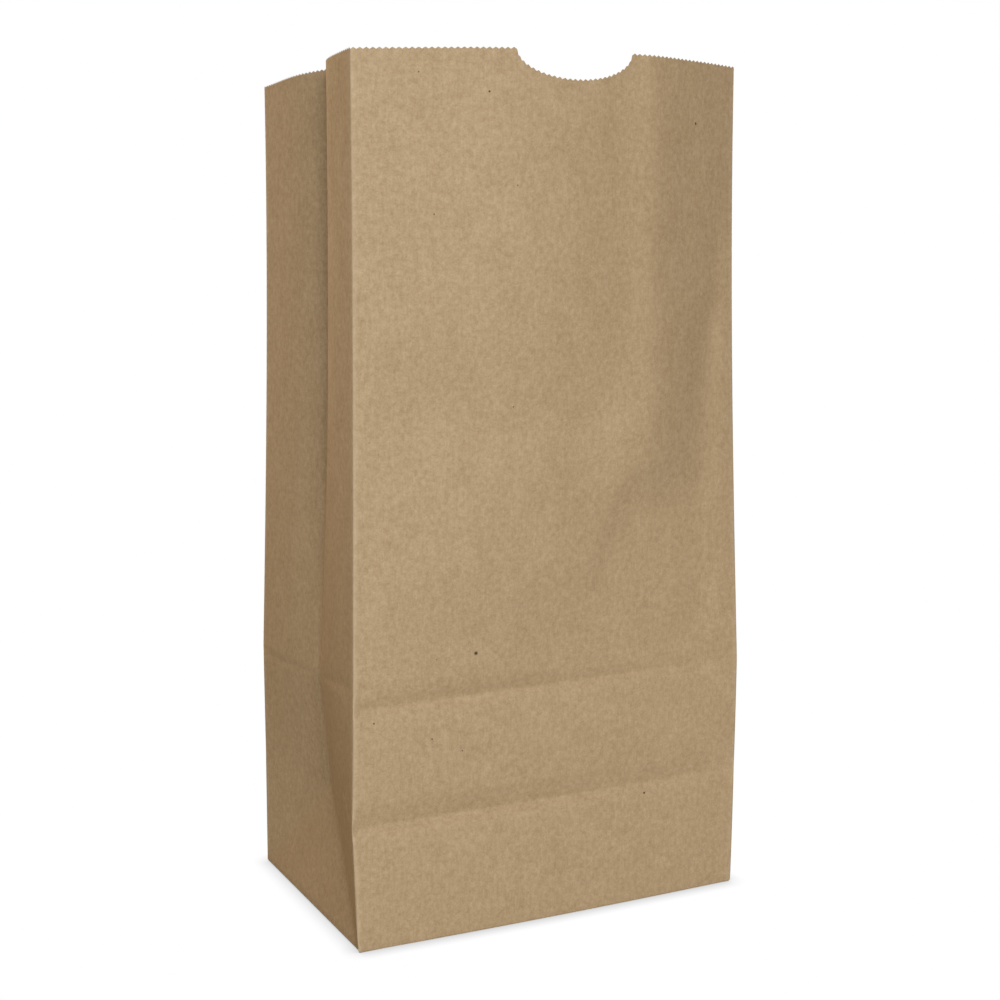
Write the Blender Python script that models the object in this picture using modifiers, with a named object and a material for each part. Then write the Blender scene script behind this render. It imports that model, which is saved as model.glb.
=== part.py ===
"""Brown paper lunch bag, opened and standing: one folded sheet of kraft paper.

The bag is a tube of four panels. Front and back are as wide as the bag, and each side is a gusset of two
halves with a fold between them. The tube's lower end is folded and glued into a flat bottom, and its upper
end is cut with a zigzag blade. The front has a half-oval thumb notch.
+Z is up, the front faces -Y, and the origin is the middle of the bottom.
"""
import math

import bmesh
import bpy
from mathutils import Vector

MM = 0.001

# The sheet
WIDTH = 135 * MM                # front and back panels
DEPTH = 88 * MM                 # each side, both gusset halves together
HEIGHT = 270 * MM
PAPER = 0.1 * MM                # thickness of the sheet

# Creases that the flat-folded bag keeps round its lower part, as heights above the floor
LOWER_CREASE = 39.6 * MM
UPPER_CREASE = 77.7 * MM
CREASE_DEPTH = 1.2 * MM         # how far a crease lies behind the paper beside it
CREASE_REACH = 4.0 * MM         # how far above and below a crease the paper is drawn in
BAND_SWELL = 0.9 * MM           # how far the paper stands out midway between two creases
CREASE_FADE = 0.25              # power of the sine that fades creases out beside the upright folds

# The zigzag cut and the thumb notch
TOOTH_PITCH = 1.8 * MM
TOOTH_HEIGHT = 0.55 * MM
NOTCH_WIDTH = 40.4 * MM
NOTCH_DEPTH = 8.4 * MM
NOTCH_MARGIN = 3.6 * MM         # from the notch to the first row of faces below it
BACK_DROP = 5.4 * MM            # how much lower the leaning back's rim is than the front's
DROP_POWER = 1.25               # the rim falls faster the nearer it comes to the back
FRONT_RISE = 1.0 * MM           # how much higher the front's rim is in its middle than at its folds

# The glued layers
SEAM_LAP = 12 * MM              # double paper down the middle of the back
BOTTOM_LAP = 6 * MM             # how far each flap of the bottom reaches past the middle
BOTTOM_LEVEL = 2 * PAPER        # the folded-in sides lie on the bottom's two flaps
FACING = 0.5                    # cosine above which a face counts as facing the added layer
TINY = 1e-6                     # rounding error allowed between two places that should be equal

# How finely the surface is divided
COLUMN = 9 * MM                 # widest column of faces
ROW = 29 * MM                   # tallest row of faces above the upper crease
GUSSET_COLUMNS = 5              # in each half gusset
BAND_ROWS = 3                   # between the two creases, apart from the creases' own
NOTCH_STEPS = 90                # points that trace the notch's oval

LEVELS = (0, LOWER_CREASE, UPPER_CREASE, HEIGHT)
# Where the upright folds stand: offsets (x, y) from a plain box at each of the four levels
UPRIGHT_FOLDS = {
    "front_left": ((-0.6 * MM, 0), (-1.9 * MM, 0), (-1.0 * MM, 0), (0.9 * MM, 0.5 * MM)),
    "front_right": ((0.4 * MM, 0), (0.9 * MM, 0), (1.2 * MM, 0), (-2.2 * MM, 4.0 * MM)),
    "right_gusset": ((0, 0), (-7.0 * MM, 0), (-5.0 * MM, 0), (-13.0 * MM, 1.0 * MM)),
    "back_right": ((0, 0), (0.4 * MM, 0), (0.2 * MM, 0), (-1.5 * MM, -2.0 * MM)),
    "back_left": ((0, 0), (0.2 * MM, 0), (0.2 * MM, 0), (3.5 * MM, -3.5 * MM)),
    "left_gusset": ((0, 0), (8.0 * MM, 0), (4.6 * MM, 0), (11.2 * MM, -2.4 * MM)),
}
# Each panel from fold to fold: how far it bows outwards at the same levels, and how far that bow leans
# towards the panel's start at the rim
PANELS = {
    "front": ("front_left", "front_right", (1.0 * MM, 1.0 * MM, 1.2 * MM, 12.6 * MM), 0.7 * MM),
    "right_front": ("front_right", "right_gusset", (0, 0, 1.0 * MM, 4.0 * MM), -1.0 * MM),
    "right_back": ("right_gusset", "back_right", (0, 0, 1.0 * MM, 2.6 * MM), 0.6 * MM),
    "back": ("back_right", "back_left", (0.6 * MM, 0.8 * MM, 1.4 * MM, 11.0 * MM), -0.8 * MM),
    "left_back": ("back_left", "left_gusset", (0, 0, 1.0 * MM, 2.6 * MM), -0.6 * MM),
    "left_front": ("left_gusset", "front_left", (0, 0, 1.0 * MM, 3.6 * MM), 0.6 * MM),
}
BOX_CORNERS = {
    "front_left": (-WIDTH / 2, -DEPTH / 2),
    "front_right": (WIDTH / 2, -DEPTH / 2),
    "right_gusset": (WIDTH / 2, 0),
    "back_right": (WIDTH / 2, DEPTH / 2),
    "back_left": (-WIDTH / 2, DEPTH / 2),
    "left_gusset": (-WIDTH / 2, 0),
}

# Face marks, for the layers of paper that are added last
PLAIN, SEAM, FRONT_FLAP, BACK_FLAP = range(4)


def at_height(values, z):
    """A value at height z from its values at LEVELS: straight to the upper crease, then eased to the rim."""
    below = sum(z > level for level in LEVELS[1:-1])
    low, high = LEVELS[below:below + 2]
    share = min(1, (z - low) / (high - low))
    if high == HEIGHT:
        share = math.sin(share * math.pi / 2)
    return values[below] + (values[below + 1] - values[below]) * share


def fold_place(name, z):
    """Where an upright fold passes height z."""
    box_x, box_y = BOX_CORNERS[name]
    offsets_x, offsets_y = zip(*UPRIGHT_FOLDS[name])
    return Vector((box_x + at_height(offsets_x, z), box_y + at_height(offsets_y, z), z))


def crease_relief(z):
    """How far a wide panel stands out at height z: it swells between the creases and is drawn in at them."""
    relief = 0
    for low, high in ((0, LOWER_CREASE), (LOWER_CREASE, UPPER_CREASE)):
        if low < z < high:
            relief += BAND_SWELL * math.sin(math.pi * (z - low) / (high - low))
    for crease in (LOWER_CREASE, UPPER_CREASE):
        relief -= CREASE_DEPTH * max(0, 1 - abs(z - crease) / CREASE_REACH)
    return relief


def sheet_point(panel, u, z):
    """The point of the sheet at share u along a panel and height z."""
    start_name, end_name, bows, lean = PANELS[panel]
    start, end = fold_place(start_name, z), fold_place(end_name, z)
    outwards = Vector((end.y - start.y, start.x - end.x, 0)).normalized()
    bow = at_height(bows, z) * math.sin(math.pi * u)
    bow += at_height((0, 0, 0, lean), z) * math.sin(2 * math.pi * u)
    if panel in ("front", "back"):
        bow += crease_relief(z) * math.sin(math.pi * u) ** CREASE_FADE
    point = start.lerp(end, u) + outwards * bow
    if z < LOWER_CREASE and panel not in ("front", "back"):
        # Below the lower crease a gusset is three flat faces. Slanting creases climb from the bottom's
        # corners to the end of its fold, and the face between them leans in
        corner, fold, along = (start, end, u) if end_name.endswith("gusset") else (end, start, 1 - u)
        point.x = corner.x + (fold.x - corner.x) * min(1, along * LOWER_CREASE / z)
    return point


def stretch(path, columns):
    """A stretch of the cut edge in even half teeth: its points, and which of them start a column."""
    lengths = [(b - a).length for a, b in zip(path, path[1:])]
    teeth = max(columns, round(sum(lengths) / TOOTH_PITCH))
    points, passed, piece = [], 0, 0
    for i in range(2 * teeth):
        place = i * sum(lengths) / (2 * teeth)
        while place > passed + lengths[piece]:
            passed += lengths[piece]
            piece += 1
        points.append(path[piece].lerp(path[piece + 1], (place - passed) / lengths[piece]))
    return points, [2 * round(k * teeth / columns) for k in range(columns)]


def rim_stretches(panel):
    """The cut edge's path along a panel in straight or curved stretches, as (distance, depth) points."""
    if panel == "front":
        start, middle = (WIDTH - NOTCH_WIDTH) / 2, WIDTH / 2
        angles = [math.pi * i / NOTCH_STEPS for i in range(NOTCH_STEPS + 1)]
        notch = [Vector((middle - NOTCH_WIDTH / 2 * math.cos(a), NOTCH_DEPTH * math.sin(a))) for a in angles]
        return [[Vector((0, 0)), Vector((start, 0))], notch, [Vector((WIDTH - start, 0)), Vector((WIDTH, 0))]]
    if panel == "back":
        stops = [0, (WIDTH - SEAM_LAP) / 2, (WIDTH + SEAM_LAP) / 2, WIDTH]
    else:
        stops = [0, DEPTH / 2]
    return [[Vector((a, 0)), Vector((b, 0))] for a, b in zip(stops, stops[1:])]


def rim_line(panel):
    """The cut edge along a panel: (share along it, depth below the rim) points, and the columns' starts."""
    length = WIDTH if panel in ("front", "back") else DEPTH / 2
    line, starts = [], []
    for path in rim_stretches(panel):
        run = sum((b - a).length for a, b in zip(path, path[1:]))
        columns = math.ceil(run / COLUMN) if length == WIDTH else GUSSET_COLUMNS
        points, firsts = stretch(path, columns)
        starts += [len(line) + first for first in firsts]
        line += [(p.x / length, max(0, p.y)) for p in points]
    return line, starts


def row_heights(gusset_shares):
    """Heights of the rows of faces. The lowest rows pass where the slanting creases cross the columns."""
    low = [BOTTOM_LEVEL] + [LOWER_CREASE * share for share in gusset_shares[1:]]
    first, last = LOWER_CREASE + CREASE_REACH, UPPER_CREASE - CREASE_REACH
    band = [first + (last - first) * i / BAND_ROWS for i in range(BAND_ROWS + 1)]
    start, end = UPPER_CREASE + CREASE_REACH, HEIGHT - NOTCH_DEPTH - NOTCH_MARGIN
    count = math.ceil((end - start) / ROW)
    body = [start + (end - start) * i / count for i in range(count + 1)]
    return low + [LOWER_CREASE] + band + [UPPER_CREASE] + body


def cut_point(panel, u, depth):
    """A point of the cut edge, which falls towards the back and is arched along the front."""
    point = sheet_point(panel, u, HEIGHT - depth)
    point.z -= BACK_DROP * max(0, point.y / DEPTH + 0.5) ** DROP_POWER
    if panel == "front":
        point.z += FRONT_RISE * math.sin(math.pi * u)
    return point


def add_walls(mesh, mark):
    """The tube of panels, row by row, up to the zigzag edge. Returns each panel's lowest points."""
    rims = {panel: rim_line(panel) for panel in PANELS}
    half_gusset, starts = rims["left_back"]
    rows = row_heights([half_gusset[i][0] for i in starts])
    loop = [(panel, i) for panel, (line, starts) in rims.items() for i in starts]
    grid = []
    for z in rows:
        grid.append([mesh.verts.new(sheet_point(panel, rims[panel][0][i][0], z)) for panel, i in loop])
    edge, column_edges = [], []
    for panel, (line, starts) in rims.items():
        for i, (u, depth) in enumerate(line):
            if i in starts:
                column_edges.append(len(edge))
            valley = TOOTH_HEIGHT if i % 2 == 0 else 0
            edge.append(mesh.verts.new(cut_point(panel, u, depth + valley)))
    seam_start, seam_end = (WIDTH - SEAM_LAP) / 2 / WIDTH, (WIDTH + SEAM_LAP) / 2 / WIDTH
    for k, (panel, i) in enumerate(loop):
        after = (k + 1) % len(loop)
        u = rims[panel][0][i][0]
        kind = SEAM if panel == "back" and seam_start - TINY < u < seam_end - TINY else PLAIN
        for j in range(len(rows) - 1):
            corners = grid[j][k], grid[j][after], grid[j + 1][after], grid[j + 1][k]
            if rows[j + 1] <= LOWER_CREASE and panel.startswith(("left", "right")):
                rising = PANELS[panel][1].endswith("gusset")
                a, b, c, d = corners if rising else corners[1:] + corners[:1]
                faces = (a, b, c), (a, c, d)
            else:
                faces = (corners,)
            for face in faces:
                mesh.faces.new(face)[mark] = kind
        stop = column_edges[after] if after else len(edge)
        top = edge[column_edges[k]:stop] + [edge[stop % len(edge)]]
        mesh.faces.new([grid[-1][k], grid[-1][after]] + top[::-1])[mark] = kind
    floor = {panel: [grid[0][k] for k, (name, i) in enumerate(loop) if name == panel] for panel in PANELS}
    return floor


def add_bottom(mesh, mark, floor):
    """The flat bottom: two long flaps with slanting ends, and the folded-in sides between those ends."""
    meet_x = WIDTH / 2 - DEPTH / 2
    lap_x = meet_x - BOTTOM_LAP
    meet_left, meet_right, lap_left, lap_right = (
        mesh.verts.new((x, y, BOTTOM_LEVEL))
        for x, y in ((-meet_x, 0), (meet_x, 0), (-lap_x, BOTTOM_LAP), (lap_x, BOTTOM_LAP))
    )
    corner = {name: floor[panel][0] for panel, (name, *_) in PANELS.items()}
    front = floor["front"] + [corner["front_right"], meet_right, lap_right, lap_left, meet_left]
    right = floor["right_front"] + floor["right_back"] + [corner["back_right"], meet_right]
    back = floor["back"] + [corner["back_left"], meet_left, lap_left, lap_right, meet_right]
    left = floor["left_back"] + floor["left_front"] + [corner["front_left"], meet_left]
    for outline, kind in ((front, FRONT_FLAP), (right, PLAIN), (back, BACK_FLAP), (left, PLAIN)):
        mesh.faces.new(outline[::-1])[mark] = kind


def add_layer(mesh, mark, kinds, outwards):
    """One more thickness of paper on the outer faces that carry these marks."""
    faces = [f for f in mesh.faces if f[mark] in kinds and f.normal.dot(outwards) > FACING]
    grown = bmesh.ops.extrude_face_region(mesh, geom=faces)
    moved = [v for v in grown["geom"] if isinstance(v, bmesh.types.BMVert)]
    bmesh.ops.translate(mesh, verts=moved, vec=outwards * PAPER)
    bmesh.ops.delete(mesh, geom=faces, context="FACES")
    mesh.normal_update()


def kraft_paper():
    """Unbleached kraft: matt, light brown."""
    material = bpy.data.materials.new("brown_kraft_paper")
    material.use_nodes = True
    shader = material.node_tree.nodes["Principled BSDF"]
    shader.inputs["Base Color"].default_value = (0.434, 0.314, 0.191, 1)
    shader.inputs["Roughness"].default_value = 0.85
    shader.inputs["Metallic"].default_value = 0
    return material


def make_bag(collection):
    """The sheet as an open surface, given its thickness, then its glued layers."""
    mesh = bmesh.new()
    mark = mesh.faces.layers.int.new("layer")
    add_bottom(mesh, mark, add_walls(mesh, mark))
    sheet = bpy.data.meshes.new("sheet")
    mesh.to_mesh(sheet)
    mesh.free()
    bag = bpy.data.objects.new("paper_bag", sheet)
    collection.objects.link(bag)
    thickness = bag.modifiers.new("paper", "SOLIDIFY")
    thickness.thickness = PAPER
    thickness.offset = -1
    thickness.use_even_offset = True

    graph = bpy.context.evaluated_depsgraph_get()
    bag.data = bpy.data.meshes.new_from_object(bag.evaluated_get(graph))
    bag.modifiers.clear()
    bpy.data.meshes.remove(sheet)
    mesh = bmesh.new()
    mesh.from_mesh(bag.data)
    mark = mesh.faces.layers.int["layer"]
    add_layer(mesh, mark, (SEAM,), Vector((0, 1, 0)))
    add_layer(mesh, mark, (FRONT_FLAP, BACK_FLAP), Vector((0, 0, -1)))
    add_layer(mesh, mark, (FRONT_FLAP,), Vector((0, 0, -1)))
    mesh.to_mesh(bag.data)
    mesh.free()
    bag.data.materials.clear()
    bag.data.materials.append(kraft_paper())
    return bag


for old in list(bpy.data.objects):
    bpy.data.objects.remove(old)
bag_collection = bpy.data.collections.new("brown_paper_lunch_bag")
bpy.context.scene.collection.children.link(bag_collection)
make_bag(bag_collection)
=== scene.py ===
# %% [markdown]
# # A brown paper lunch bag
# A lunch bag is one sheet of unbleached kraft paper. A machine folds it into a tube with a front, a back and
# two gusseted sides, glues the lap down the back, folds the tube's lower end into a flat bottom and cuts its
# upper end with a zigzag blade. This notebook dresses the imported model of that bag. It builds the same sheet
# again with a fine mesh, presses the soft bends of a bag that was shaken open by hand into it, and gives it
# the mottled, matt look of kraft paper.

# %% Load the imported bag
import math

import bmesh
import bpy
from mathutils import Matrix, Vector


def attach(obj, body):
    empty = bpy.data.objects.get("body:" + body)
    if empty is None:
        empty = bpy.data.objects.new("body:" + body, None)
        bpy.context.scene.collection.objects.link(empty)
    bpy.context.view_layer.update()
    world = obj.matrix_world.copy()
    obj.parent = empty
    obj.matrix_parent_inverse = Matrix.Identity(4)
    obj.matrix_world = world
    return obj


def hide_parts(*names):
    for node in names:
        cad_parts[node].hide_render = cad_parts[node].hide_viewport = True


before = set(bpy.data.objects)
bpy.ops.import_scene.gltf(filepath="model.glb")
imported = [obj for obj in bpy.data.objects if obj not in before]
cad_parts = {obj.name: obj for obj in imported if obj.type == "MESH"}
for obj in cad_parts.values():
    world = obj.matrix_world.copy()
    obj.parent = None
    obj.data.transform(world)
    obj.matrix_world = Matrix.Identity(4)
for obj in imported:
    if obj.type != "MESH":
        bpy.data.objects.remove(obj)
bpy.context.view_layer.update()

# %% [markdown]
# ## The sheet's sizes
# Paper is thin and wide, so its shape is a surface and its thickness comes last. All lengths here are
# millimetres, until a vertex is made. The bag's width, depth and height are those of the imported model, and so
# are the places of its six upright folds, which lean a little because nobody opens a bag perfectly.

# %% Sizes
MM = 0.001
WIDTH, DEPTH, HEIGHT = 135, 88, 270
PAPER = 0.1
LOWER_CREASE, UPPER_CREASE = 39.6, 77.7
LEVELS = (0, LOWER_CREASE, UPPER_CREASE, HEIGHT)

# %% Where the six upright folds stand
# Each corner of a plain box, then its offsets (x, y) at the four levels
UPRIGHT_FOLDS = {
    "front_left": ((-WIDTH / 2, -DEPTH / 2), ((-0.6, 0), (-1.9, 0), (-1.0, 0), (0.9, 0.5))),
    "front_right": ((WIDTH / 2, -DEPTH / 2), ((0.4, 0), (0.9, 0), (1.2, 0), (-2.2, 4.0))),
    "right_gusset": ((WIDTH / 2, 0), ((0, 0), (-7.0, 0), (-5.0, 0), (-13.0, 1.0))),
    "back_right": ((WIDTH / 2, DEPTH / 2), ((0, 0), (0.4, 0), (0.2, 0), (-1.5, -2.0))),
    "back_left": ((-WIDTH / 2, DEPTH / 2), ((0, 0), (0.2, 0), (0.2, 0), (3.5, -3.5))),
    "left_gusset": ((-WIDTH / 2, 0), ((0, 0), (8.0, 0), (4.6, 0), (11.2, -2.4))),
}


def at_level(values, z):
    """A value at height z from its values at LEVELS: straight to the upper crease, then eased to the rim."""
    below = sum(z > level for level in LEVELS[1:-1])
    low, high = LEVELS[below:below + 2]
    share = min(1, (z - low) / (high - low))
    if high == HEIGHT:
        share = math.sin(share * math.pi / 2)
    return values[below] + (values[below + 1] - values[below]) * share


def fold_place(name, z):
    """Where an upright fold passes height z."""
    (box_x, box_y), offsets = UPRIGHT_FOLDS[name]
    offsets_x, offsets_y = zip(*offsets)
    return Vector((box_x + at_level(offsets_x, z), box_y + at_level(offsets_y, z), z))


rim_chord = fold_place("front_right", HEIGHT) - fold_place("front_left", HEIGHT)
print("front rim, fold to fold, mm:", round(rim_chord.length, 1))

# %% [markdown]
# ## How each panel bows
# Between two folds the paper isn't flat: the open rim pushes the panels outwards, and the glued bottom holds
# them straight. A sum of sine waves along the panel is the simplest curve that is zero at both folds, and the
# first wave alone is an even bow. The front has four, which put its flattest stretch left of the middle.

# %% The panels from fold to fold, with their bows at the four levels and their finer waves at the rim
PANELS = {
    "front": ("front_left", "front_right", (1.0, 1.0, 1.2, 12.6), (0.7, 0.5, -0.6)),
    "right_front": ("front_right", "right_gusset", (0, 0, 1.0, 4.0), (-1.0,)),
    "right_back": ("right_gusset", "back_right", (0, 0, 1.0, 2.6), (0.6,)),
    "back": ("back_right", "back_left", (0.6, 0.8, 1.4, 11.0), (-0.8, 0.3)),
    "left_back": ("back_left", "left_gusset", (0, 0, 1.0, 2.6), (-0.6,)),
    "left_front": ("left_gusset", "front_left", (0, 0, 1.0, 3.6), (0.6,)),
}


def panel_length(panel):
    """The panel's length along the sheet."""
    return WIDTH if panel in ("front", "back") else DEPTH / 2


def bow_height(panel, u, z):
    """How far a panel stands out from the straight line between its folds, before its creases."""
    bows, waves = PANELS[panel][2:]
    bow = at_level(bows, z) * math.sin(math.pi * u)
    for order, wave in enumerate(waves, start=2):
        bow += at_level((0, 0, 0, wave), z) * math.sin(order * math.pi * u)
    return bow


# %% [markdown]
# ## Creases round the lower part
# The bag was stored flat, with its bottom folded up against one face. Opened, it keeps two creases all round
# where that fold ran. At each crease the paper is drawn in: it sinks slowly from above and comes out again
# sharply below. The creases are deepest at one end, because the bag was folded a little out of true.

# %% Creases and the swell between them
# Per crease: height at the left of the front, climb to its right, depth at the left, depth at the right, reach
# above and reach below
CREASES = (
    (LOWER_CREASE - 0.7, 0.8, 1.9, 0.8, 8.5, 4.4),
    (UPPER_CREASE - 1.7, 2.0, 1.5, 0.4, 4.6, 4.4),
)
CREASE_FADE, CREASE_POWER = 0.25, 1.5
BAND_SWELL = 0.9


def crease_relief(share, z):
    """How far a wide panel stands out at a share of its width and a height because of its creases."""
    relief = 0
    for low, high in ((0, LOWER_CREASE), (LOWER_CREASE, UPPER_CREASE)):
        if low < z < high:
            relief += BAND_SWELL * math.sin(math.pi * (z - low) / (high - low))
    for height, climb, depth_left, depth_right, above, below in CREASES:
        depth = depth_left + (depth_right - depth_left) * share
        offset = z - height - climb * share
        away = abs(offset) / (above if offset > 0 else below)
        relief -= depth * max(0, 1 - away) ** CREASE_POWER
    return relief


# %% [markdown]
# ## Marks of handling
# A mark is a line on the flat panel, where the paper was bent and didn't spring back. Across the line the
# surface rises to a ridge, or falls to a groove if the rise is negative, and it lands smoothly at the mark's
# reach on either side. One function makes them all, from a crisp crease to a broad swell, because only the
# softness of the ridge and the two reaches differ. Past its ends a mark fades over the shorter of its two
# reaches, because a fade that differed between the sides would leave a step in the paper. The folds hold the
# paper straight, so every mark fades out towards them.

# %% Marks
MARK_POWER = 1.6
EDGE_HOLD = 16
# Per mark: start and end on the sheet as (mm from the panel's start fold, height), rise, reach to the left and
# to the right of someone who walks along the line, softness of the ridge
MARKS = {
    "front": (
        # Two upright ridges under the rim, right of the notch's middle
        ((80, 158), (75, 285), 3.1, 66, 38, 0.15),
        ((98, 148), (96, 285), 2.5, 18, 34, 0.15),
        # The slanting hollow below them, and the ridge where it ends
        ((110, 120), (130, 212), -0.6, 18, 15, 0.35),
        ((120, 96), (124, 190), -0.7, 14, 12, 0.3),
        ((76, 116), (91, 156), 0.9, 24, 12, 0.2),
        # Broad swells and the dip between them, left of the middle
        ((18, 108), (60, 112), 1.0, 44, 24, 0.4),
        ((24, 163), (70, 158), -2.0, 32, 28, 0.15),
        ((22, 226), (60, 214), 0.9, 50, 48, 0.4),
        ((2, 84), (58, 84), 0.4, 14, 6, 0.3),
        # Small dents
        ((47, 137), (58, 134), -0.22, 7, 7, 0.3),
        ((23, 200), (28, 208), -0.16, 5, 3, 0.2),
        ((13, 224), (18, 234), 0.14, 6, 3, 0.2),
        ((54, 176), (61, 181), -0.16, 8, 5, 0.3),
        ((106, 262), (107, 273), 0.12, 2, 2, 0.1),
    ),
    "left_back": (
        ((2, 75), (42, 77), -0.2, 3.5, 2.5, 0.2),
        ((41, 96), (43, 42), 0.4, 5, 5, 0.05),
        ((1, 12), (16, 3), -0.5, 5, 5, 0.2),
    ),
    "left_front": (
        ((2, 77), (42, 83), -0.2, 3.5, 2.5, 0.2),
        ((2, 32), (36, 15), -0.4, 9, 5, 0.3),
        ((30, 44), (42, 36), 0.3, 4, 3, 0.2),
    ),
    "right_front": (
        ((2, 79), (41, 77), -0.2, 2.5, 3.5, 0.2),
        ((8, 20), (41, 33), -0.7, 4, 8, 0.1),
    ),
    "right_back": (
        ((3, 77), (42, 76), -0.2, 2.5, 3.5, 0.2),
        ((2, 34), (33, 16), -0.7, 8, 4, 0.1),
    ),
    "back": (
        ((30, 96), (44, 268), 0.9, 24, 34, 0.15),
        ((104, 128), (98, 266), 0.8, 30, 22, 0.1),
        ((56, 112), (112, 118), 0.9, 34, 20, 0.3),
        ((18, 150), (34, 104), 0.5, 8, 16, 0.12),
        ((84, 196), (92, 204), -0.2, 6, 5, 0.2),
    ),
}


def mark_height(mark, along, z):
    """How far one mark lifts the paper at a place on its panel."""
    (start_along, start_z), (end_along, end_z), rise, reach_left, reach_right, softness = mark
    run = Vector((end_along - start_along, end_z - start_z))
    offset = Vector((along - start_along, z - start_z))
    share = offset.dot(run) / run.length_squared
    across = run.cross(offset) / run.length
    reach = reach_left if across > 0 else reach_right
    past_end = max(-share, share - 1, 0) * run.length / min(reach_left, reach_right)
    ridge = max(0, 1 - math.hypot(across / reach, softness, past_end))
    return rise * (ridge / (1 - softness)) ** MARK_POWER


def relief(panel, u, z):
    """Everything that stands out from a panel's smooth bow."""
    height = 0
    if panel in ("front", "back"):
        height += crease_relief(u if panel == "front" else 1 - u, z) * math.sin(math.pi * u) ** CREASE_FADE
    pinned = min(1, EDGE_HOLD * min(u, 1 - u))
    for mark in MARKS.get(panel, ()):
        height += mark_height(mark, u * panel_length(panel), z) * pinned
    return height


# %% [markdown]
# ## One function for the whole surface
# Every vertex comes from this function, so that the rim, the walls and the bottom always meet. Below the
# lower crease a gusset is three flat faces: slanting creases climb from the bottom's corners to the end of
# its fold, and the face between them leans in.

# %% The sheet's surface
FOOT_SOFTNESS = 0.05


def sheet_point(panel, u, z):
    """The point of the sheet at share u along a panel and height z."""
    start_name, end_name = PANELS[panel][:2]
    start, end = fold_place(start_name, z), fold_place(end_name, z)
    outwards = Vector((end.y - start.y, start.x - end.x, 0)).normalized()
    point = start.lerp(end, u) + outwards * (bow_height(panel, u, z) + relief(panel, u, z))
    if z < LOWER_CREASE and panel not in ("front", "back"):
        corner, fold, along = (start, end, u) if end_name.endswith("gusset") else (end, start, 1 - u)
        share = along * LOWER_CREASE / max(z, PAPER)
        soft_share = (share + 1 - math.hypot(share - 1, FOOT_SOFTNESS)) / 2
        point.x = corner.x + (fold.x - corner.x) * soft_share
    return point


# %% [markdown]
# ## Round the folds
# A fold in paper is never a knife edge: the sheet turns over a radius of a few thicknesses, and a soft fold
# over more. The last stretch before a fold is read from a quadratic curve between two points on its sides.

# %% Rounded folds
FOLD_RADIUS = {"gusset": 2.0, "corner": 0.7}
PANEL_ORDER = list(PANELS)


def fold_radius(name):
    """How far from a fold its round part starts."""
    return FOLD_RADIUS["gusset" if name.endswith("gusset") else "corner"]


def rounded_point(panel, along, z):
    """The sheet's point at a distance along a panel and a height, with the folds at both ends rounded."""
    length = panel_length(panel)
    start_name, end_name = PANELS[panel][:2]
    place = PANEL_ORDER.index(panel)
    before, after = PANEL_ORDER[place - 1], PANEL_ORDER[(place + 1) % len(PANEL_ORDER)]
    if along < fold_radius(start_name):
        radius = fold_radius(start_name)
        sides = (before, panel_length(before) - radius), (panel, radius)
        corner, share = sheet_point(panel, 0, z), (along + radius) / (2 * radius)
    elif along > length - fold_radius(end_name):
        radius = fold_radius(end_name)
        sides = (panel, length - radius), (after, radius)
        corner, share = sheet_point(panel, 1, z), (along - length + radius) / (2 * radius)
    else:
        return sheet_point(panel, along / length, z)
    first, last = (sheet_point(side, distance / panel_length(side), z) for side, distance in sides)
    return first.lerp(corner, share).lerp(corner.lerp(last, share), share)


# %% [markdown]
# ## The zigzag edge
# The blade cuts a tooth every 1.8 mm, and a half-oval thumb notch in the front, so that the bag can be
# flicked open. The edge is a line on the flat sheet, as (distance along the panel, depth below the rim). Its
# points alternate between the bottom of a tooth and its tip.

# %% The cut line along one panel
TOOTH_PITCH, TOOTH_HEIGHT = 1.8, 0.55
NOTCH_WIDTH, NOTCH_DEPTH, NOTCH_STEPS = 40.4, 8.4, 90
SEAM_LAP = 12
SEAM = ((WIDTH - SEAM_LAP) / 2, (WIDTH + SEAM_LAP) / 2)


def stretch_points(path):
    """Even half teeth along one straight or curved stretch of the cut."""
    lengths = [(b - a).length for a, b in zip(path, path[1:])]
    teeth = round(sum(lengths) / TOOTH_PITCH)
    points, passed, piece = [], 0, 0
    for i in range(2 * teeth):
        place = i * sum(lengths) / (2 * teeth)
        while place > passed + lengths[piece]:
            passed += lengths[piece]
            piece += 1
        point = path[piece].lerp(path[piece + 1], (place - passed) / lengths[piece])
        points.append((point.x, max(0, point.y) + (TOOTH_HEIGHT if i % 2 == 0 else 0)))
    return points


def cut_line(panel):
    """The panel's cut edge, from its start fold up to its end fold."""
    length = panel_length(panel)
    if panel != "front":
        stops = (0, *SEAM, WIDTH) if panel == "back" else (0, length)
        line = []
        for a, b in zip(stops, stops[1:]):
            line += stretch_points([Vector((a, 0)), Vector((b, 0))])
        return line + [(length, TOOTH_HEIGHT)]
    start, middle = (WIDTH - NOTCH_WIDTH) / 2, WIDTH / 2
    angles = [math.pi * i / NOTCH_STEPS for i in range(NOTCH_STEPS + 1)]
    notch = [Vector((middle - NOTCH_WIDTH / 2 * math.cos(a), NOTCH_DEPTH * math.sin(a))) for a in angles]
    line = stretch_points([Vector((0, 0)), Vector((start, 0))])
    line += stretch_points(notch)
    line += stretch_points([Vector((WIDTH - start, 0)), Vector((WIDTH, 0))])
    return line + [(WIDTH, TOOTH_HEIGHT)]


print("teeth along the front:", len(cut_line("front")) // 2)

# %% [markdown]
# ## Columns and rows
# The mesh has a column under each tooth, so that no tooth hangs on a long thin face, and narrow columns where
# a fold turns. Rows are close together at the creases and further apart where the paper is smooth. Above the
# upper crease they share out the height of their own column, so that they bend under the thumb notch.

# %% Columns
LEAST_COLUMN = 1.0
FOLD_STEPS = 2


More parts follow.
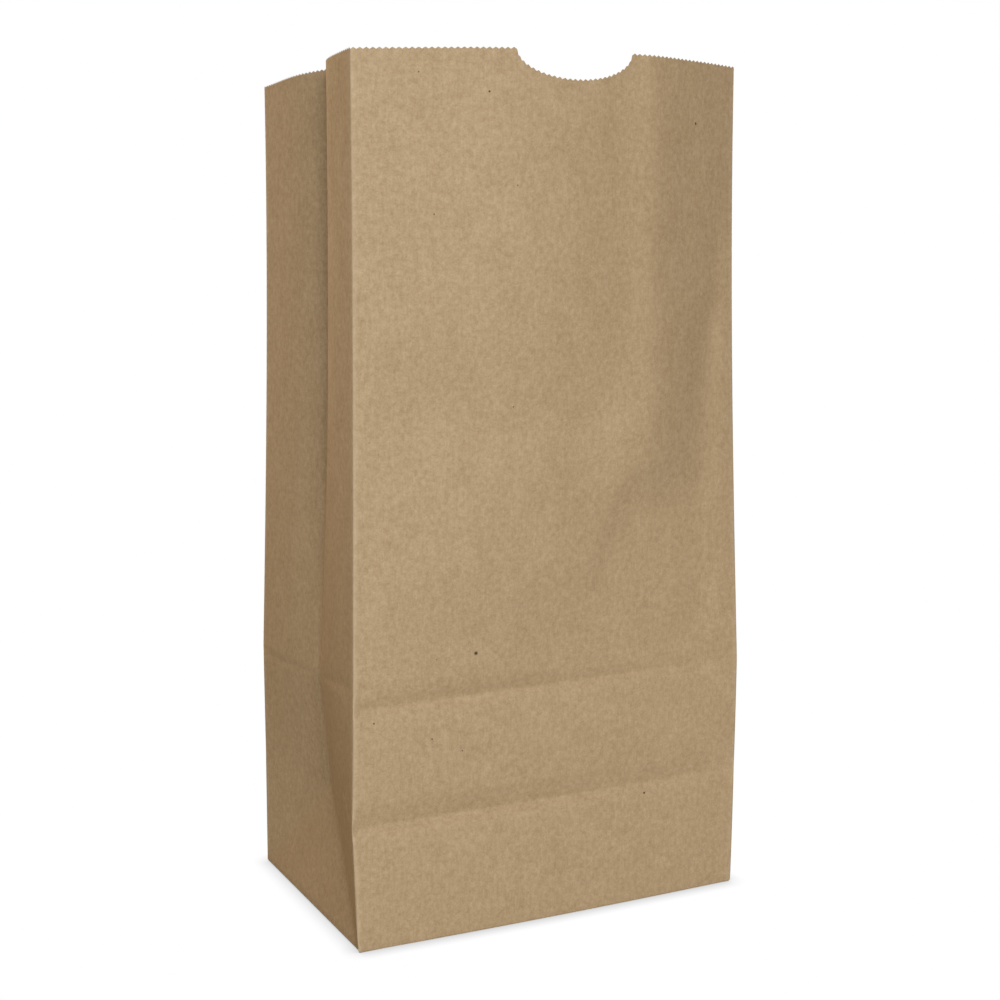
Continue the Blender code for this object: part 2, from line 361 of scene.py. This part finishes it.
def with_fold_points(line, panel):
    """The cut line with extra points where the narrow columns of a fold's round part reach it."""
    length = panel_length(panel)
    start_name, end_name = PANELS[panel][:2]
    extra = [fold_radius(start_name) * (i + 1) / FOLD_STEPS for i in range(FOLD_STEPS)]
    extra += [length - fold_radius(end_name) * (i + 1) / FOLD_STEPS for i in range(FOLD_STEPS)]
    points = [(along, depth, False) for along, depth in line]
    for place in extra:
        for (a, depth_a), (b, depth_b) in zip(line, line[1:]):
            if a < place < b:
                points.append((place, depth_a + (depth_b - depth_a) * (place - a) / (b - a), True))
    return sorted(points)


def panel_columns(panel):
    """A panel's cut line, and the places in it where a column starts."""
    points = with_fold_points(cut_line(panel), panel)[:-1]
    near_fold = max(fold_radius(name) for name in PANELS[panel][:2])
    starts, last = [], -LEAST_COLUMN
    for i, (along, depth, is_extra) in enumerate(points):
        is_valley = not is_extra and i and along - last >= LEAST_COLUMN
        clear = near_fold < along < panel_length(panel) - near_fold
        if i == 0 or is_extra or (is_valley and clear):
            starts.append(i)
            last = along
    return [(along, depth) for along, depth, _ in points], starts


COLUMNS = {panel: panel_columns(panel) for panel in PANELS}
print("columns:", {panel: len(starts) for panel, (line, starts) in COLUMNS.items()})

# %% Rows
BOTTOM_LEVEL = 2 * PAPER
FLOOR_RADIUS = 0.4
ROW, CREASE_ROW = 2.3, 0.8
BELOW_CREASE, ABOVE_LOWER, ABOVE_UPPER = 5, 9, 6
RIM_MARGIN = 1.0
FREE_START = UPPER_CREASE + ABOVE_UPPER
FREE_ROWS = round((HEIGHT - FREE_START) / ROW)


def even_steps(low, high, step):
    """Heights between two heights, without its ends, about a step apart."""
    count = round((high - low) / step)
    return [low + (high - low) * i / count for i in range(1, count)]


def fixed_rows():
    """Heights of the rows up to just above the upper crease."""
    lowest = BOTTOM_LEVEL + FLOOR_RADIUS
    stops = (
        (lowest, LOWER_CREASE - BELOW_CREASE, ROW),
        (LOWER_CREASE - BELOW_CREASE, LOWER_CREASE + ABOVE_LOWER, CREASE_ROW),
        (LOWER_CREASE + ABOVE_LOWER, UPPER_CREASE - BELOW_CREASE, ROW),
        (UPPER_CREASE - BELOW_CREASE, FREE_START, CREASE_ROW),
    )
    rows = []
    for low, high, step in stops:
        rows += [low] + even_steps(low, high, step)
    return rows + [FREE_START]


print("rows:", len(fixed_rows()) + FREE_ROWS)

# %% [markdown]
# ## The rim is not level
# The back leans outwards more than the front, so its rim lies lower, and the front's rim is arched. The fall
# grows from nothing at the upper crease to its whole amount at the rim, as it does when a panel tips over.

# %% The rim's fall
BACK_DROP, DROP_POWER, FRONT_RISE = 5.4, 1.25, 1.0


def fallen(point, panel, along):
    """A point of the free upper part, lowered by its share of the rim's fall."""
    fall = BACK_DROP * max(0, point.y / DEPTH + 0.5) ** DROP_POWER
    if panel == "front":
        fall -= FRONT_RISE * math.sin(math.pi * along / WIDTH)
    share = max(0, point.z - FREE_START) / (HEIGHT - FREE_START)
    return Vector((point.x, point.y, point.z - fall * share))


# %% [markdown]
# ## The walls
# The tube is one grid of vertices. Its top row of faces runs up to the zigzag points, and its lowest row
# turns under the bag through a small radius, because the bottom fold is round like the others.

# %% Build the walls
PLAIN, LAP, FRONT_FLAP, BACK_FLAP = range(4)
TINY = 1e-6
FLOOR_TURNS = (30, 60, 90)
WEAR_REACH = 1.5


def add_vertex(mesh, point, wear=0):
    """A vertex from a point in millimetres, with how worn the paper is there."""
    vertex = mesh.verts.new(point * MM)
    vertex[mesh.verts.layers.float["fold_wear"]] = wear
    return vertex


def wear_at(panel, along):
    """How worn the paper is, from 1 on a corner fold to 0 at the reach of its wear."""
    start_name, end_name = PANELS[panel][:2]
    distances = (along, start_name), (panel_length(panel) - along, end_name)
    near = min((distance for distance, name in distances if not name.endswith("gusset")), default=WEAR_REACH)
    return max(0, 1 - near / WEAR_REACH)


def floor_turn(ring, degrees):
    """The lowest ring of wall points turned under the bag by an angle."""
    turned = []
    for i, point in enumerate(ring):
        along = ring[(i + 1) % len(ring)] - ring[i - 1]
        inwards = Vector((-along.y, along.x, 0)).normalized()
        angle = math.radians(degrees)
        sunk = Vector((0, 0, math.sin(angle)))
        turned.append(point + FLOOR_RADIUS * (inwards * (1 - math.cos(angle)) - sunk))
    return turned


def add_walls(mesh, mark):
    """The walls up to the cut edge. Returns each panel's vertices on the floor."""
    loop = [(panel, i) for panel, (line, starts) in COLUMNS.items() for i in starts]
    places = [COLUMNS[panel][0][i] for panel, i in loop]
    columns = [(panel, along) for (panel, _), (along, _) in zip(loop, places)]
    rows = [[rounded_point(panel, along, z) for panel, along in columns] for z in fixed_rows()]
    for j in range(1, FREE_ROWS + 1):
        row = []
        for (panel, _), (along, depth) in zip(loop, places):
            top = HEIGHT - depth - RIM_MARGIN
            z = FREE_START + (top - FREE_START) * j / FREE_ROWS
            row.append(fallen(rounded_point(panel, along, z), panel, along))
        rows.append(row)
    rows = [floor_turn(rows[0], turn) for turn in reversed(FLOOR_TURNS)] + rows
    wear = [wear_at(panel, along) for panel, along in columns]
    grid = [[add_vertex(mesh, point, worn) for point, worn in zip(row, wear)] for row in rows]
    edge, column_edges = [], []
    for panel, (line, starts) in COLUMNS.items():
        for i, (along, depth) in enumerate(line):
            if i in starts:
                column_edges.append(len(edge))
            point = rounded_point(panel, along, HEIGHT - depth)
            edge.append(add_vertex(mesh, fallen(point, panel, along), wear_at(panel, along)))
    for k in range(len(loop)):
        after = (k + 1) % len(loop)
        in_seam = loop[k][0] == "back" and SEAM[0] - TINY < places[k][0] < SEAM[1] - TINY
        kind = LAP if in_seam else PLAIN
        for lower, upper in zip(grid, grid[1:]):
            mesh.faces.new((lower[k], lower[after], upper[after], upper[k]))[mark] = kind
        stop = column_edges[after] if after else len(edge)
        top = edge[column_edges[k]:stop] + [edge[stop % len(edge)]]
        mesh.faces.new([grid[-1][k], grid[-1][after]] + top[::-1])[mark] = kind
    return {panel: [v for v, (name, i) in zip(grid[0], loop) if name == panel] for panel in PANELS}


# %% [markdown]
# ## The folded bottom
# The long flaps of the front and back fold in over the sides' folded ends and are glued where they overlap,
# so the underside shows a long flap with slanting ends on top of another. The surface is divided along those
# flaps, and each flap gets the extra layers of paper that lie on it after the sheet has its thickness.

# %% Build the bottom
BOTTOM_LAP = 6


def add_bottom(mesh, mark, floor):
    """The flat bottom: two long flaps with slanting ends, and the folded-in sides between those ends."""
    meet_x = (WIDTH - DEPTH) / 2
    lap_x = meet_x - BOTTOM_LAP
    meet_left, meet_right, lap_left, lap_right = (
        add_vertex(mesh, Vector((x, y, BOTTOM_LEVEL)))
        for x, y in ((-meet_x, 0), (meet_x, 0), (-lap_x, BOTTOM_LAP), (lap_x, BOTTOM_LAP))
    )
    corner = {PANELS[panel][0]: vertices[0] for panel, vertices in floor.items()}
    front = floor["front"] + [corner["front_right"], meet_right, lap_right, lap_left, meet_left]
    right = floor["right_front"] + floor["right_back"] + [corner["back_right"], meet_right]
    back = floor["back"] + [corner["back_left"], meet_left, lap_left, lap_right, meet_right]
    left = floor["left_back"] + floor["left_front"] + [corner["front_left"], meet_left]
    for outline, kind in ((front, FRONT_FLAP), (right, PLAIN), (back, BACK_FLAP), (left, PLAIN)):
        mesh.faces.new(outline[::-1])[mark] = kind


def add_layer(mesh, mark, kinds, outwards):
    """One more thickness of paper on the outer faces that carry these marks."""
    facing = 0.5
    faces = [f for f in mesh.faces if f[mark] in kinds and f.normal.dot(outwards) > facing]
    grown = bmesh.ops.extrude_face_region(mesh, geom=faces)
    moved = [v for v in grown["geom"] if isinstance(v, bmesh.types.BMVert)]
    bmesh.ops.translate(mesh, verts=moved, vec=outwards * PAPER * MM)
    bmesh.ops.delete(mesh, geom=faces, context="FACES")
    mesh.normal_update()


# %% [markdown]
# ## Give the sheet its thickness
# Solidify turns the surface into paper of one tenth of a millimetre. It grows inwards, so that the outside
# keeps the measured size, and it is applied, so that the glued layers can be added to the flaps.

# %% Make the bag
def make_bag():
    """The whole bag as one mesh object."""
    mesh = bmesh.new()
    mark = mesh.faces.layers.int.new("layer")
    mesh.verts.layers.float.new("fold_wear")
    add_bottom(mesh, mark, add_walls(mesh, mark))
    sheet = bpy.data.meshes.new("kraft_sheet")
    mesh.to_mesh(sheet)
    mesh.free()
    bag = bpy.data.objects.new("lunch_bag", sheet)
    bpy.context.scene.collection.objects.link(bag)
    thickness = bag.modifiers.new("paper", "SOLIDIFY")
    thickness.thickness = PAPER * MM
    thickness.offset = -1
    thickness.use_even_offset = True
    graph = bpy.context.evaluated_depsgraph_get()
    bag.data = bpy.data.meshes.new_from_object(bag.evaluated_get(graph))
    bag.modifiers.clear()
    bpy.data.meshes.remove(sheet)
    mesh = bmesh.new()
    mesh.from_mesh(bag.data)
    mark = mesh.faces.layers.int["layer"]
    add_layer(mesh, mark, (LAP,), Vector((0, 1, 0)))
    add_layer(mesh, mark, (FRONT_FLAP, BACK_FLAP), Vector((0, 0, -1)))
    add_layer(mesh, mark, (FRONT_FLAP,), Vector((0, 0, -1)))
    mesh.to_mesh(bag.data)
    mesh.free()
    return bag


SHARP_ANGLE = 50

bag = make_bag()
bag.data.shade_smooth()
bag.data.set_sharp_from_angle(angle=math.radians(SHARP_ANGLE))
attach(bag, "root")
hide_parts("paper_bag")
print("triangles:", sum(len(polygon.vertices) - 2 for polygon in bag.data.polygons))

# %% [markdown]
# ## Kraft paper
# Kraft paper is softwood pulp that was never bleached, pressed and dried on a steel cylinder. That leaves it
# brown and nearly matt, with a dull sheen where the light glances off. Held close it is mottled: its fibres
# lie mostly upright, along the web, and clump into a faint cloudiness. A few dark slivers of bark are left in
# the pulp, and the fibres at a fold are roughened and look paler. Cellulose bends light by about 1.5, and the
# roughness is that of uncoated paper, a little lower where the pulp is pale and lies smooth.

# %% A helper for colours and one for nodes
def srgb(code):
    """The linear colour of an sRGB hex code."""
    channels = [int(code[i:i + 2], 16) / 255 for i in (1, 3, 5)]
    linear = [c / 12.92 if c <= 0.04045 else ((c + 0.055) / 1.055) ** 2.4 for c in channels]
    return (*linear, 1)


def add_node(material, kind, inputs=(), **settings):
    """A node with its settings, and its inputs as values or as the sockets that feed them."""
    node = material.node_tree.nodes.new(kind)
    for name, value in settings.items():
        setattr(node, name, value)
    for name, value in dict(inputs).items():
        if isinstance(value, bpy.types.NodeSocket):
            material.node_tree.links.new(value, node.inputs[name])
        else:
            node.inputs[name].default_value = value
    return node


# %% The tone of the fibres
NOISE_DETAIL, NOISE_ROUGHNESS = 3, 0.6


def noise(material, place, size, stretch):
    """Cloudy noise with lumps of a size in millimetres, stretched upwards."""
    upright = add_node(material, "ShaderNodeMapping", {"Vector": place, "Scale": (1, 1, 1 / stretch)})
    inputs = {"Vector": upright.outputs["Vector"], "Scale": 1 / (size * MM)}
    inputs |= {"Detail": NOISE_DETAIL, "Roughness": NOISE_ROUGHNESS}
    return add_node(material, "ShaderNodeTexNoise", inputs).outputs["Fac"]


def weighted(material, value, weight, addend):
    """A value times a weight, plus an addend."""
    node = add_node(material, "ShaderNodeMath", operation="MULTIPLY_ADD")
    for place, item in enumerate((value, weight, addend)):
        if isinstance(item, bpy.types.NodeSocket):
            material.node_tree.links.new(item, node.inputs[place])
        else:
            node.inputs[place].default_value = item
    return node.outputs[0]


# Per layer: size of its lumps in millimetres, how far they are stretched upwards, and its share in the tone. A
# pulp fibre is about 0.03 mm wide, too fine to show here, so the two fine layers are drawn as tufts of fibres.
CLOUDS = (9, 1.4, 0.4)
MOTTLE = (1.6, 1, 1.1)
FIBRES = (0.55, 9, 0.5)
GRAIN = (0.5, 1, 1.05)


def fibre_tone(material, place):
    """How pale the pulp is, around one half."""
    layers = (CLOUDS, MOTTLE, FIBRES, GRAIN)
    tone = 0.5 - sum(share for _, _, share in layers) / 2
    for size, stretch, share in layers:
        tone = weighted(material, noise(material, place, size, stretch), share, tone)
    return tone


# %% Slivers of bark
# The ones that stand out on the front: mm from its left fold, height, radius
BARK = (
    (39, 257.5, 0.42),
    (19, 263, 0.3),
    (47.5, 231, 0.3),
    (23, 223, 0.3),
    (115.5, 251, 0.55),
    (49, 166, 0.28),
    (39, 90.5, 0.8),
    (6.5, 72, 0.4),
    (25, 65, 0.35),
    (35, 60, 0.3),
    (100, 36.5, 0.5),
)
BARK_CORE = 1 / 3
# The fainter ones all over: a cell of the scatter in mm, the widest radius, the share of cells that hold one
SCATTER, SCATTER_RADIUS, SCATTER_SHARE = 7, 0.3, 0.3
SCATTER_TONE = 0.7


def bark_mask(material, place):
    """1 on a sliver of bark and 0 beside it."""
    cells = add_node(material, "ShaderNodeTexVoronoi", {"Vector": place, "Scale": 1 / (SCATTER * MM)})
    chosen = add_node(material, "ShaderNodeSeparateColor", {"Color": cells.outputs["Color"]}).outputs["Red"]
    widest = SCATTER_RADIUS / SCATTER
    reach = weighted(material, chosen, -widest / SCATTER_SHARE, widest)
    inside = weighted(material, cells.outputs["Distance"], -1, reach)
    inputs = {"Value": inside, "From Max": widest / 2, "To Max": SCATTER_TONE}
    mask = add_node(material, "ShaderNodeMapRange", inputs).outputs["Result"]
    for along, z, radius in BARK:
        spot = fallen(rounded_point("front", along, z), "front", along) * MM
        away = add_node(material, "ShaderNodeVectorMath", operation="DISTANCE")
        material.node_tree.links.new(place, away.inputs[0])
        away.inputs[1].default_value = spot
        edge, core = radius * MM, radius * MM * BARK_CORE
        inputs = {"Value": away.outputs["Value"], "From Min": edge, "From Max": core}
        near = add_node(material, "ShaderNodeMapRange", inputs).outputs["Result"]
        both = add_node(material, "ShaderNodeMath", operation="MAXIMUM")
        material.node_tree.links.new(mask, both.inputs[0])
        material.node_tree.links.new(near, both.inputs[1])
        mask = both.outputs[0]
    return mask


# %% The paper
DARK_PULP, PALE_PULP, WORN_FIBRES, BARK_BROWN = "#9F845F", "#C3AA86", "#D2BE9E", "#3A2A18"
WEAR_SHARE = 0.35
DULLNESS, SHEEN_OF_PALE = 0.8, 0.12
RELIEF_HEIGHT, RELIEF_STRENGTH = 0.05, 0.5
REFRACTION = 1.5


def blend(material, share, below, above):
    """A colour between two, by a share."""
    node = add_node(material, "ShaderNodeMix", data_type="RGBA")
    material.node_tree.links.new(share, node.inputs["Factor"])
    for name, colour in (("A", below), ("B", above)):
        socket = next(s for s in node.inputs if s.name == name and s.type == "RGBA")
        if isinstance(colour, bpy.types.NodeSocket):
            material.node_tree.links.new(colour, socket)
        else:
            socket.default_value = colour
    return next(s for s in node.outputs if s.type == "RGBA")


def kraft_paper():
    """Unbleached machine-made kraft paper."""
    material = bpy.data.materials.new("unbleached_kraft_paper")
    material.use_nodes = True
    shader = material.node_tree.nodes["Principled BSDF"]
    place = add_node(material, "ShaderNodeTexCoord").outputs["Object"]
    tone = fibre_tone(material, place)
    colour = blend(material, tone, srgb(DARK_PULP), srgb(PALE_PULP))
    worn = add_node(material, "ShaderNodeAttribute", attribute_name="fold_wear").outputs["Fac"]
    worn_here = weighted(material, worn, WEAR_SHARE, 0)
    colour = blend(material, worn_here, colour, srgb(WORN_FIBRES))
    colour = blend(material, bark_mask(material, place), colour, srgb(BARK_BROWN))
    material.node_tree.links.new(colour, shader.inputs["Base Color"])
    shader.inputs["IOR"].default_value = REFRACTION
    dullness = weighted(material, tone, -SHEEN_OF_PALE, DULLNESS)
    material.node_tree.links.new(dullness, shader.inputs["Roughness"])
    relief_inputs = {"Height": tone, "Strength": RELIEF_STRENGTH, "Distance": RELIEF_HEIGHT * MM}
    bump = add_node(material, "ShaderNodeBump", relief_inputs)
    material.node_tree.links.new(bump.outputs["Normal"], shader.inputs["Normal"])
    return material


bag.data.materials.clear()
bag.data.materials.append(kraft_paper())

# %% [markdown]
# ## Floor, light and camera
# The bag stands on white card in a white studio. To the camera both are plain white, apart from a soft painted
# shadow, a dark line painted where the bag touches the card. To the bag the card is grey and the studio is dim,
# or their light would fill every crease and flatten the paper.

# %% Floor and surroundings
# Half the floor's width is in metres, and the other lengths are millimetres
FLOOR_HALF, FLOOR_GAP = 6, 0.05
# The painted contact shadow: how far from the bag it reaches in mm, how dark it is painted at the touch, and
# its samples
PAINTED_SHADOW_REACH, PAINTED_SHADOW_TONE, PAINTED_SHADOW_SAMPLES = 6, 0.45, 16
SURROUND_STRENGTH = 0.06


def make_floor():
    """A plain pale floor that the camera sees as white, with a shadow painted where the bag touches it."""
    mesh = bmesh.new()
    bmesh.ops.create_grid(mesh, x_segments=1, y_segments=1, size=FLOOR_HALF)
    data = bpy.data.meshes.new("floor")
    mesh.to_mesh(data)
    mesh.free()
    floor = bpy.data.objects.new("floor", data)
    bpy.context.scene.collection.objects.link(floor)
    floor.location.z = -FLOOR_GAP * MM
    material = bpy.data.materials.new("white_card_with_painted_shadow")
    material.use_nodes = True
    material.node_tree.nodes.clear()
    rays = add_node(material, "ShaderNodeLightPath")
    card = add_node(material, "ShaderNodeBsdfDiffuse", {"Color": srgb("#6E6E6E")})
    reach = {"Distance": PAINTED_SHADOW_REACH * MM}
    # Painted shadow: the white that the camera sees is darkened where ambient occlusion finds the bag close by
    near = add_node(material, "ShaderNodeAmbientOcclusion", reach, samples=PAINTED_SHADOW_SAMPLES)
    tones = {"Value": near.outputs["AO"], "To Min": PAINTED_SHADOW_TONE, "To Max": 1.0}
    glow_with_painted_shadow = add_node(material, "ShaderNodeMapRange", tones)
    seen = add_node(material, "ShaderNodeEmission", {"Strength": glow_with_painted_shadow.outputs["Result"]})
    mix = add_node(material, "ShaderNodeMixShader", {"Fac": rays.outputs["Is Camera Ray"]})
    material.node_tree.links.new(card.outputs[0], mix.inputs[1])
    material.node_tree.links.new(seen.outputs[0], mix.inputs[2])
    add_node(material, "ShaderNodeOutputMaterial", {"Surface": mix.outputs[0]})
    data.materials.append(material)
    return floor


make_floor()

world = bpy.data.worlds.new("studio")
bpy.context.scene.world = world
world.use_nodes = True
world.node_tree.nodes.clear()
rays = add_node(world, "ShaderNodeLightPath")
surround = add_node(world, "ShaderNodeBackground", {"Color": srgb("#FFDDC0"), "Strength": SURROUND_STRENGTH})
seen_surround = add_node(world, "ShaderNodeBackground", {"Color": srgb("#FFFFFF"), "Strength": 1.0})
mix = add_node(world, "ShaderNodeMixShader", {"Fac": rays.outputs["Is Camera Ray"]})
world.node_tree.links.new(surround.outputs[0], mix.inputs[1])
world.node_tree.links.new(seen_surround.outputs[0], mix.inputs[2])
add_node(world, "ShaderNodeOutputWorld", {"Surface": mix.outputs[0]})

# %% [markdown]
# ## Three soft boxes
# The key stands far off in front, a little to the left, and low, so that each crease has a dark and a bright
# side. A small warm one stands behind the bag on the left. It only grazes the left side, and shapes its
# gusset. The last stands behind on the right, for the sides that this camera doesn't see.

# %% Lights
def soft_light(name, azimuth, elevation, distance, size, power, colour):
    """A square soft box that looks at the bag's middle. Azimuth 0 is in front, and 90 to the left."""
    light = bpy.data.lights.new(name, "AREA")
    light.color = srgb(colour)[:3]
    light.size = size
    light.energy = power
    lamp = bpy.data.objects.new(name, light)
    bpy.context.scene.collection.objects.link(lamp)
    a, e = math.radians(azimuth), math.radians(elevation)
    towards = Vector((-math.sin(a) * math.cos(e), -math.cos(a) * math.cos(e), math.sin(e)))
    lamp.location = Vector((0, 0, HEIGHT / 2 * MM)) + distance * towards
    lamp.rotation_euler = towards.to_track_quat("Z", "Y").to_euler()
    return lamp


soft_light("key_softbox", 20, 12, 4.0, 2.0, 160, "#FFFFFF")
soft_light("back_softbox", 163, 8, 1.0, 0.7, 7.5, "#FFDDB0")
soft_light("fill_softbox", -125, 10, 2.0, 1.0, 22, "#FFFFFF")
print("lights, W:", {light.name: light.energy for light in bpy.data.lights})

# %% [markdown]
# ## Where the photograph was taken from
# The camera stands in front of the bag and to its left, a little below the rim, and looks slightly down. It
# was moved until the bag's corners fell where the photograph has them.

# %% Camera
camera_data = bpy.data.cameras.new("camera")
camera_data.lens = 62.57
camera_data.sensor_width = 36
camera = bpy.data.objects.new("camera", camera_data)
bpy.context.scene.collection.objects.link(camera)
camera.location = (-0.25101, -0.51556, 0.22014)
camera.rotation_euler = (math.radians(81.025), 0, math.radians(-26.141))
bpy.context.scene.camera = camera
bpy.context.scene.view_settings.view_transform = "Standard"
from_middle = camera.location - Vector((0, 0, HEIGHT / 2 * MM))
print("camera to the bag's middle, mm:", round(from_middle.length / MM))
